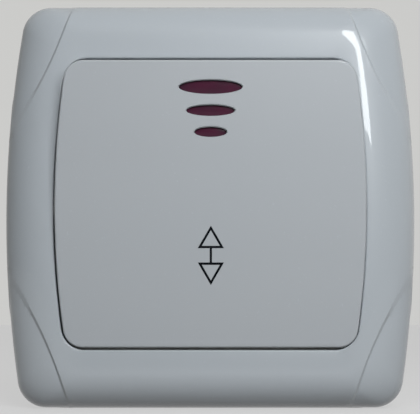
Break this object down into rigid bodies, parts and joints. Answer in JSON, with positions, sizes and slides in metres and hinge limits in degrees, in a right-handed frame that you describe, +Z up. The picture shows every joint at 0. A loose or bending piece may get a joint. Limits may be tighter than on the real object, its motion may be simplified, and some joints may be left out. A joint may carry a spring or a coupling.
{
  "type": "flush rocker wall switch",
  "caption": "Flush wall switch with a wide rocking key, oval red indicator windows, a barrel-sided cover frame, a steel mounting plate, spreading claws and screw terminals.",
  "frame": {"origin": "midpoint of the two box screw slots in the wall plane, at the back face of the mounting plate", "axes": "+X to the right and +Z up as seen from the room, +Y into the wall, so the key faces -Y"},
  "size_m": [0.084, 0.0332, 0.0828],
  "materials": {
    "frame_plastic": "moulded, glossy, pale cool white",
    "key_plastic": "moulded, satin gloss, pale cool white",
    "lens_red": "smoky dark red, translucent",
    "carrier_plastic": "moulded natural white",
    "housing_plastic": "moulded dark grey thermoset",
    "plated_steel": "zinc plated sheet steel",
    "screw_steel": "zinc plated steel",
    "spring_steel": "bright spring steel wire",
    "clamp_brass": "plain brass",
    "strip_copper": "copper alloy strip",
    "contact_silver": "silver contact alloy",
    "lamp_glass": "clear blown glass",
    "lamp_metal": "nickel electrodes",
    "lead_copper": "tinned copper wire",
    "resistor_body": "sand-coloured lacquer"
  },
  "bodies": {
    "base": {"cover_frame": "frame_plastic", "mounting_plate": "plated_steel", "housing": "housing_plastic", "housing_cover": "housing_plastic", "cover_screws": "screw_steel", "claw_pins": "screw_steel", "common_strip": "strip_copper", "upper_contact_strip": "strip_copper", "lower_contact_strip": "strip_copper", "fixed_tips": "contact_silver", "lamp_bulb": "lamp_glass", "lamp_electrodes": "lamp_metal", "lamp_resistor": "resistor_body", "lamp_leads": "lead_copper", "lamp_tray": "carrier_plastic", "common_clamp": "clamp_brass", "upper_throw_clamp": "clamp_brass", "lower_throw_clamp": "clamp_brass", "lamp_clamp": "clamp_brass"},
    "rocker": {"rocker_key": "key_plastic", "indicator_lens": "lens_red", "cradle": "carrier_plastic"},
    "plunger": {"plunger": "carrier_plastic", "plunger_spring": "spring_steel"},
    "bridge": {"contact_bridge": "strip_copper", "bridge_tips": "contact_silver"},
    "claw_left": {"claw_left": "plated_steel"},
    "claw_screw_left": {"claw_screw_left": "screw_steel"},
    "claw_nut_left": {"claw_nut_left": "screw_steel"},
    "claw_right": {"claw_right": "plated_steel"},
    "claw_screw_right": {"claw_screw_right": "screw_steel"},
    "claw_nut_right": {"claw_nut_right": "screw_steel"},
    "upper_throw_screw": {"upper_throw_screw": "screw_steel"},
    "lamp_screw": {"lamp_screw": "screw_steel"},
    "lower_throw_screw": {"lower_throw_screw": "screw_steel"},
    "common_screw": {"common_screw": "screw_steel"}
  },
  "joints": [
    {"name": "rocker_tilt", "type": "hinge", "parent": "base", "child": "rocker", "pos_m": [0, -0.0056, 0], "axis": [-1, 0, 0], "range_deg": [0, 8]},
    {"name": "bridge_tilt", "type": "hinge", "parent": "base", "child": "bridge", "pos_m": [0, 0.0096, 0], "axis": [-1, 0, 0], "range_deg": [-12, 0]},
    {"name": "plunger_slide", "type": "slide", "parent": "rocker", "child": "plunger", "axis": [0, -0.9976, -0.0698], "range_m": [0, 0.0006], "stiffness_N_per_m": 800, "springref_m": -0.002, "deforming": ["plunger_spring"]},
    {"name": "claw_screw_left_turn", "type": "hinge", "parent": "base", "child": "claw_screw_left", "pos_m": [-0.0225, 0, 0], "axis": [0, 1, 0], "range_deg": [0, 1068.6]},
    {"name": "claw_nut_left_climb", "type": "slide", "parent": "base", "child": "claw_nut_left", "axis": [0, -1, 0], "range_m": [0, 0.00208]},
    {"name": "claw_left_spread", "type": "hinge", "parent": "base", "child": "claw_left", "pos_m": [-0.018, 0.003, 0], "axis": [0, 0, 1], "range_deg": [0, 26]},
    {"name": "claw_screw_right_turn", "type": "hinge", "parent": "base", "child": "claw_screw_right", "pos_m": [0.0225, 0, 0], "axis": [0, 1, 0], "range_deg": [0, 1068.6]},
    {"name": "claw_nut_right_climb", "type": "slide", "parent": "base", "child": "claw_nut_right", "axis": [0, -1, 0], "range_m": [0, 0.00208]},
    {"name": "claw_right_spread", "type": "hinge", "parent": "base", "child": "claw_right", "pos_m": [0.018, 0.003, 0], "axis": [0, 0, -1], "range_deg": [0, 26]},
    {"name": "upper_throw_screw_drive", "type": "slide", "parent": "base", "child": "upper_throw_screw", "axis": [0, 0, -1], "range_m": [0, 0.0016]},
    {"name": "lamp_screw_drive", "type": "slide", "parent": "base", "child": "lamp_screw", "axis": [0, 0, -1], "range_m": [0, 0.0016]},
    {"name": "lower_throw_screw_drive", "type": "slide", "parent": "base", "child": "lower_throw_screw", "axis": [0, 0, 1], "range_m": [0, 0.0016]},
    {"name": "common_screw_drive", "type": "slide", "parent": "base", "child": "common_screw", "axis": [0, 0, 1], "range_m": [0, 0.0016]}
  ],
  "couplings": [
    {"joint": "bridge_tilt", "follows": "rocker_tilt", "ratio": -1.5},
    {"joint": "claw_screw_left_turn", "follows": "claw_nut_left_climb", "rad_per_m": 8976},
    {"joint": "claw_left_spread", "follows": "claw_nut_left_climb", "rad_per_m": 218.4},
    {"joint": "claw_screw_right_turn", "follows": "claw_nut_right_climb", "rad_per_m": 8976},
    {"joint": "claw_right_spread", "follows": "claw_nut_right_climb", "rad_per_m": 218.4}
  ]
}
